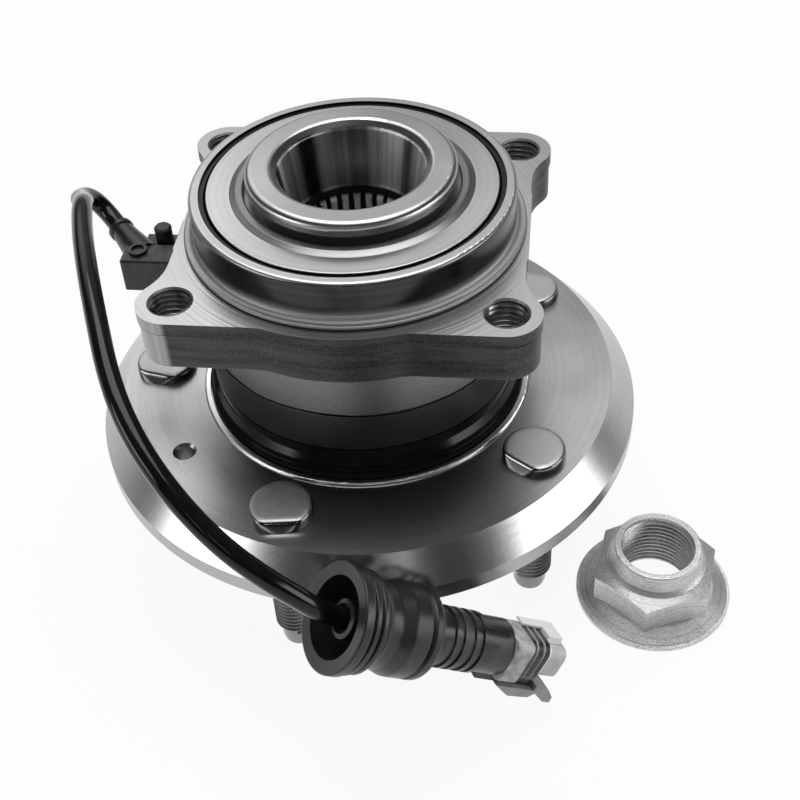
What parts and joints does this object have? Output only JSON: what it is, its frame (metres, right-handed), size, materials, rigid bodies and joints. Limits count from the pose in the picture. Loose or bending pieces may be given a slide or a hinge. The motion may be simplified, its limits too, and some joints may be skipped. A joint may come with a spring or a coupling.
{
  "type": "wheel hub bearing",
  "caption": "Flanged wheel hub bearing unit with wheel studs, splined bore, bolt-on knuckle flange, wheel speed sensor with sealed lead and connector, and a loose flanged axle nut.",
  "frame": {"origin": "centre of the hub, on the face that the brake disc and wheel seat on", "axes": "+Z along the bearing axis towards the vehicle, +X and +Y along the sides of the knuckle bolt rectangle, with the speed sensor on the -X side"},
  "size_m": [0.1837, 0.1798, 0.1201],
  "materials": {
    "forged_steel": "turned and ground faces on forged steel",
    "ring_steel": "machined top and spigot, dark forged flange walls",
    "bearing_steel": "ground",
    "ball_steel": "polished",
    "cage_plastic": "satin",
    "tone_steel": "sintered",
    "seal_steel": "pressed sheet",
    "seal_rubber": "satin black",
    "stud_steel": "phosphate",
    "sensor_plastic": "moulded black",
    "probe_seal_rubber": "matte",
    "bracket_steel": "plated sheet",
    "screw_steel": "dark phosphate",
    "boot_rubber": "satin black",
    "lead_jacket": "satin black jacket",
    "grommet_rubber": "matte black",
    "connector_plastic": "moulded black",
    "lock_plastic": "moulded grey",
    "connector_seal_rubber": "satin black",
    "nose_plastic": "milky white",
    "cap_plastic": "pale grey",
    "latch_plastic": "moulded grey",
    "nut_steel": "grey phosphate"
  },
  "bodies": {
    "housing": {"outer_ring": "ring_steel", "outboard_seal_case": "seal_steel", "outboard_seal_lips": "seal_rubber", "inboard_seal": "seal_rubber", "sensor_body": "sensor_plastic", "sensor_probe": "sensor_plastic", "sensor_probe_seal": "probe_seal_rubber", "sensor_bracket": "bracket_steel", "sensor_screw": "screw_steel", "lead_boot": "boot_rubber", "sensor_lead": "lead_jacket", "lead_grommet": "grommet_rubber", "connector_housing": "connector_plastic", "connector_lock": "lock_plastic", "connector_seal": "connector_seal_rubber", "connector_nose": "nose_plastic", "connector_cap": "cap_plastic", "connector_latch": "latch_plastic"},
    "hub": {"hub_flange": "forged_steel", "inner_ring": "bearing_steel", "inboard_slinger": "seal_steel", "tone_wheel": "tone_steel", "wheel_stud_1": "stud_steel", "wheel_stud_2": "stud_steel", "wheel_stud_3": "stud_steel", "wheel_stud_4": "stud_steel", "wheel_stud_5": "stud_steel"},
    "outboard_row": {"outboard_balls": "ball_steel", "outboard_cage": "cage_plastic"},
    "inboard_row": {"inboard_balls": "ball_steel", "inboard_cage": "cage_plastic"},
    "nut": {"axle_nut": "nut_steel"}
  },
  "joints": [
    {"name": "hub_spin", "type": "hinge", "parent": "housing", "child": "hub", "pos_m": [0, 0, 0.047], "axis": [0, 0, 1], "continuous": true},
    {"name": "outboard_row_spin", "type": "hinge", "parent": "housing", "child": "outboard_row", "pos_m": [0, 0, 0.033], "axis": [0, 0, 1], "continuous": true},
    {"name": "inboard_row_spin", "type": "hinge", "parent": "housing", "child": "inboard_row", "pos_m": [0, 0, 0.061], "axis": [0, 0, 1], "continuous": true},
    {"name": "nut_lift", "type": "slide", "parent": "housing", "child": "nut", "axis": [0.6572, -0.261, 0.7071], "range_m": [0, 0.05]}
  ],
  "couplings": [
    {"joint": "outboard_row_spin", "follows": "hub_spin", "ratio": 0.4306},
    {"joint": "inboard_row_spin", "follows": "hub_spin", "ratio": 0.4306}
  ]
}
